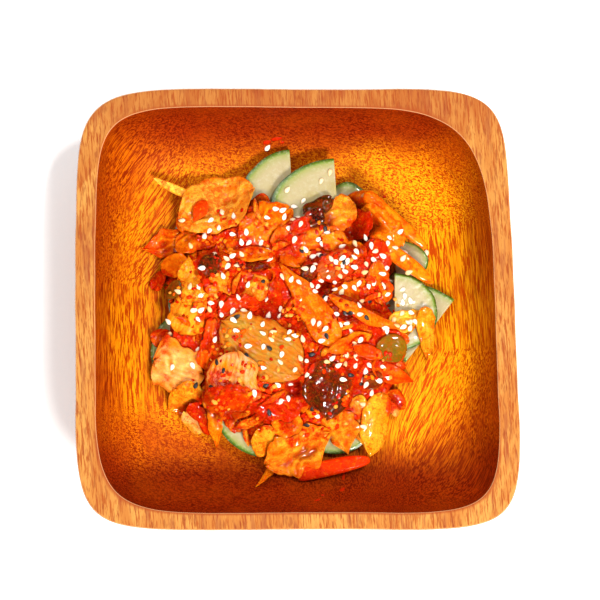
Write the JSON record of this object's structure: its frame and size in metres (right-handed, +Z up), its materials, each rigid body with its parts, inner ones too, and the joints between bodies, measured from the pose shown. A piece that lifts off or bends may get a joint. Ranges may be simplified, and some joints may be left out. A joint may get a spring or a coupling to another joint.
{
  "type": "kimchi in a square wooden bowl",
  "caption": "Spicy red cabbage kimchi heaped on cucumber slices with carrot and sesame, in a shallow square carved wooden bowl with rounded corners",
  "frame": {"origin": "on the table under the middle of the bowl", "axes": "+X right, +Y away from the viewer along the wood grain, +Z up"},
  "size_m": [0.1819, 0.18, 0.05],
  "materials": {
    "wood": "oiled red-brown hardwood, paler sanded rim",
    "kimchi": "wet red chili paste over chopped cabbage",
    "cabbage_stalk": "wet translucent cabbage rib",
    "cabbage_leaf": "wet translucent cabbage leaf stained orange",
    "green_pepper": "wet olive green",
    "dark_pepper": "wet dark red with a green edge",
    "carrot": "wet cut carrot",
    "radish": "wet cut radish stained yellow orange",
    "cucumber": "pale cut flesh with dark green skin"
  },
  "bodies": {
    "root": {"bowl": "wood", "kimchi_heap": "kimchi", "cabbage_stalk": "cabbage_stalk", "cabbage_stalk_left": "cabbage_stalk", "cabbage_leaf_back": "cabbage_leaf", "cabbage_leaf_middle": "cabbage_leaf", "cabbage_leaf_front": "cabbage_leaf", "cabbage_leaf_corner": "cabbage_leaf", "green_chili_slice": "green_pepper", "dark_pepper_slice": "dark_pepper", "carrot_stick_back": "carrot", "carrot_stick_front": "carrot", "carrot_slice_front": "carrot", "radish_stick": "radish", "cucumber_back_left": "cucumber", "cucumber_back_middle": "cucumber", "cucumber_back_right": "cucumber", "cucumber_right_slim": "cucumber", "cucumber_right_upper": "cucumber", "cucumber_right_front": "cucumber", "cucumber_right_outer": "cucumber", "cucumber_front_left": "cucumber", "cucumber_front_right": "cucumber", "cucumber_left_back": "cucumber", "cucumber_left_middle": "cucumber", "cucumber_left_front": "cucumber"}
  },
  "joints": []
}
